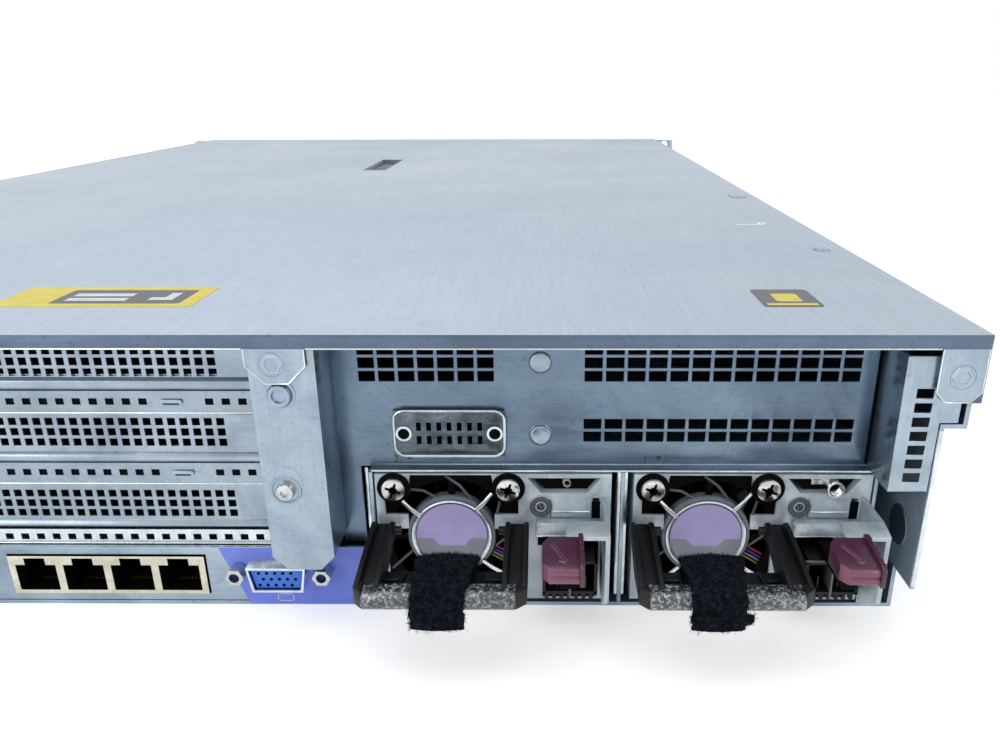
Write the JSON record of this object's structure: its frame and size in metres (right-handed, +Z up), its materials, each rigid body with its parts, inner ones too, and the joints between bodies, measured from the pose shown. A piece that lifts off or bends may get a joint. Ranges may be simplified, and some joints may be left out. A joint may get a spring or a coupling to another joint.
{
  "type": "2u rack server",
  "caption": "Two-unit rack server with sliding top cover, hot-plug power supplies with handles, hot-plug drives, riser slots and rear ports.",
  "frame": {"origin": "on the bottom sheet's underside, under the middle of the whole machine with its ears, levers and supply handles", "axes": "+Z up, rear panel with ports and power supplies towards +Y, drive bays towards -Y, +X to the right seen from the front"},
  "size_m": [0.4826, 0.714, 0.0873],
  "materials": {
    "zinc_steel": "galvanised sheet steel, satin",
    "cover_steel": "pale blue-grey coated sheet steel, satin",
    "bright_steel": "bright plated steel",
    "tin_shield": "tinned shield",
    "gold_contact": "gold-plated contacts",
    "blue_plastic": "blue moulded plastic",
    "black_plastic": "black moulded plastic, fine grain",
    "maroon_plastic": "maroon moulded plastic",
    "strap_fabric": "black hook-and-loop pile",
    "grey_plastic": "dark grey moulded plastic",
    "circuit_board": "green solder resist",
    "module_board": "green solder resist with chips",
    "fin_aluminium": "extruded aluminium",
    "supply_metal": "thin plated case, taken as aluminium so that the closed block has about the unit's mass",
    "drive_metal": "drive carrier",
    "button_plastic": "translucent pale plastic",
    "screw_steel": "plated screw heads"
  },
  "bodies": {
    "chassis": {"chassis_tub": "zinc_steel", "front_cover": "cover_steel", "ear_left": "zinc_steel", "ear_right": "zinc_steel", "rear_vent_panel": "zinc_steel", "serial_cover": "zinc_steel", "side_vent_strip": "zinc_steel", "riser_bracket": "zinc_steel", "bracket_fittings": "screw_steel", "io_panel": "zinc_steel", "network_ports": "tin_shield", "network_contacts": "gold_contact", "vga_shell": "bright_steel", "vga_insert": "blue_plastic", "vga_jackscrews": "screw_steel", "usb_ports": "tin_shield", "riser_cages": "zinc_steel", "slot_covers": "zinc_steel", "riser_boards": "circuit_board", "system_board": "circuit_board", "memory_modules": "module_board", "processors": "bright_steel", "heatsinks": "fin_aluminium", "air_baffle": "black_plastic", "fan_cage": "grey_plastic", "fan_frames": "black_plastic", "drive_cage": "zinc_steel", "drive_backplane": "circuit_board", "bay_blanks": "black_plastic", "supply_cage": "zinc_steel"},
    "top_panel": {"access_panel": "cover_steel"},
    "panel_latch": {"panel_latch": "grey_plastic"},
    "power_button": {"power_button": "button_plastic"},
    "id_button": {"id_button": "button_plastic"},
    "fan_rotor_1": {"fan_rotor_1": "black_plastic"},
    "fan_rotor_2": {"fan_rotor_2": "black_plastic"},
    "fan_rotor_3": {"fan_rotor_3": "black_plastic"},
    "fan_rotor_4": {"fan_rotor_4": "black_plastic"},
    "fan_rotor_5": {"fan_rotor_5": "black_plastic"},
    "fan_rotor_6": {"fan_rotor_6": "black_plastic"},
    "drive_1": {"drive_1": "drive_metal"},
    "drive_lever_1": {"drive_lever_1": "grey_plastic"},
    "psu_1": {"psu_1_case": "supply_metal", "psu_1_fan": "black_plastic", "psu_1_screws": "screw_steel", "psu_1_inlet": "black_plastic"},
    "psu_1_rotor": {"psu_1_rotor": "black_plastic"},
    "psu_1_handle": {"psu_1_handle": "black_plastic", "psu_1_strap": "strap_fabric"},
    "psu_1_latch": {"psu_1_latch": "maroon_plastic"},
    "drive_2": {"drive_2": "drive_metal"},
    "drive_lever_2": {"drive_lever_2": "grey_plastic"},
    "psu_2": {"psu_2_case": "supply_metal", "psu_2_fan": "black_plastic", "psu_2_screws": "screw_steel", "psu_2_inlet": "black_plastic"},
    "psu_2_rotor": {"psu_2_rotor": "black_plastic"},
    "psu_2_handle": {"psu_2_handle": "black_plastic", "psu_2_strap": "strap_fabric"},
    "psu_2_latch": {"psu_2_latch": "maroon_plastic"}
  },
  "joints": [
    {"name": "panel_slide", "type": "slide", "parent": "chassis", "child": "top_panel", "axis": [0, 1, 0], "range_m": [0, 0.0127]},
    {"name": "latch_turn", "type": "hinge", "parent": "top_panel", "child": "panel_latch", "pos_m": [0.0022, -0.1212, 0.0826], "axis": [1, 0, 0], "range_deg": [0, 60]},
    {"name": "power_press", "type": "slide", "parent": "chassis", "child": "power_button", "axis": [0, 1, 0], "range_m": [0, 0.0012], "stiffness_N_per_m": 400, "springref_m": -0.001},
    {"name": "id_press", "type": "slide", "parent": "chassis", "child": "id_button", "axis": [0, -1, 0], "range_m": [0, 0.001], "stiffness_N_per_m": 400, "springref_m": -0.001},
    {"name": "fan_spin_1", "type": "hinge", "parent": "chassis", "child": "fan_rotor_1", "pos_m": [-0.17, -0.125, 0.0392], "axis": [0, 1, 0], "continuous": true},
    {"name": "fan_spin_2", "type": "hinge", "parent": "chassis", "child": "fan_rotor_2", "pos_m": [-0.102, -0.125, 0.0392], "axis": [0, 1, 0], "continuous": true},
    {"name": "fan_spin_3", "type": "hinge", "parent": "chassis", "child": "fan_rotor_3", "pos_m": [-0.034, -0.125, 0.0392], "axis": [0, 1, 0], "continuous": true},
    {"name": "fan_spin_4", "type": "hinge", "parent": "chassis", "child": "fan_rotor_4", "pos_m": [0.034, -0.125, 0.0392], "axis": [0, 1, 0], "continuous": true},
    {"name": "fan_spin_5", "type": "hinge", "parent": "chassis", "child": "fan_rotor_5", "pos_m": [0.102, -0.125, 0.0392], "axis": [0, 1, 0], "continuous": true},
    {"name": "fan_spin_6", "type": "hinge", "parent": "chassis", "child": "fan_rotor_6", "pos_m": [0.17, -0.125, 0.0392], "axis": [0, 1, 0], "continuous": true},
    {"name": "drive_slide_1", "type": "slide", "parent": "chassis", "child": "drive_1", "axis": [0, -1, 0], "range_m": [0, 0.115]},
    {"name": "lever_turn_1", "type": "hinge", "parent": "drive_1", "child": "drive_lever_1", "pos_m": [0.1967, -0.3545, 0.0095], "axis": [1, 0, 0], "range_deg": [0, 55]},
    {"name": "drive_slide_2", "type": "slide", "parent": "chassis", "child": "drive_2", "axis": [0, -1, 0], "range_m": [0, 0.115]},
    {"name": "lever_turn_2", "type": "hinge", "parent": "drive_2", "child": "drive_lever_2", "pos_m": [0.1781, -0.3545, 0.0095], "axis": [1, 0, 0], "range_deg": [0, 55]},
    {"name": "psu_slide_1", "type": "slide", "parent": "chassis", "child": "psu_1", "axis": [0, 1, 0], "range_m": [0, 0.18]},
    {"name": "psu_fan_spin_1", "type": "hinge", "parent": "psu_1", "child": "psu_1_rotor", "pos_m": [-0.1599, 0.3086, 0.0227], "axis": [0, 1, 0], "continuous": true},
    {"name": "psu_handle_turn_1", "type": "hinge", "parent": "psu_1", "child": "psu_1_handle", "pos_m": [-0.1599, 0.3254, 0.028], "axis": [1, 0, 0], "range_deg": [0, 45]},
    {"name": "psu_latch_press_1", "type": "slide", "parent": "psu_1", "child": "psu_1_latch", "axis": [1, 0, 0], "range_m": [0, 0.0022], "stiffness_N_per_m": 900, "springref_m": -0.002},
    {"name": "psu_slide_2", "type": "slide", "parent": "chassis", "child": "psu_2", "axis": [0, 1, 0], "range_m": [0, 0.18]},
    {"name": "psu_fan_spin_2", "type": "hinge", "parent": "psu_2", "child": "psu_2_rotor", "pos_m": [-0.0876, 0.3086, 0.0227], "axis": [0, 1, 0], "continuous": true},
    {"name": "psu_handle_turn_2", "type": "hinge", "parent": "psu_2", "child": "psu_2_handle", "pos_m": [-0.0876, 0.3254, 0.028], "axis": [1, 0, 0], "range_deg": [0, 45]},
    {"name": "psu_latch_press_2", "type": "slide", "parent": "psu_2", "child": "psu_2_latch", "axis": [1, 0, 0], "range_m": [0, 0.0022], "stiffness_N_per_m": 900, "springref_m": -0.002}
  ],
  "couplings": [
    {"joint": "latch_turn", "follows": "panel_slide", "rad_per_m": 82.449}
  ]
}
